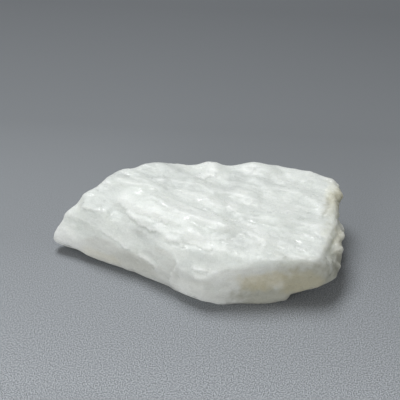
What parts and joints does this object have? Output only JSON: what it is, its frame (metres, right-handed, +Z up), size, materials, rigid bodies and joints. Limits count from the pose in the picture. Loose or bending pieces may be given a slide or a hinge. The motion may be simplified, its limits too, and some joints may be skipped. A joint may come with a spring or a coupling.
{
  "type": "rough moonstone",
  "caption": "Rough slab of milky white moonstone with a flaky cleavage top, broken walls and a pointed end, lying on a flat spot.",
  "frame": {"origin": "the middle of the stone's bounding box, at the level of the flat spot it lies on", "axes": "+X along the slab, away from its pointed end; +Y towards the back of the picture; +Z up out of the cleavage top"},
  "size_m": [0.0526, 0.0286, 0.0127],
  "materials": {
    "milky_feldspar": "waxy to pearly broken mineral surface, slightly translucent"
  },
  "bodies": {
    "root": {"rough_moonstone": "milky_feldspar"}
  },
  "joints": []
}
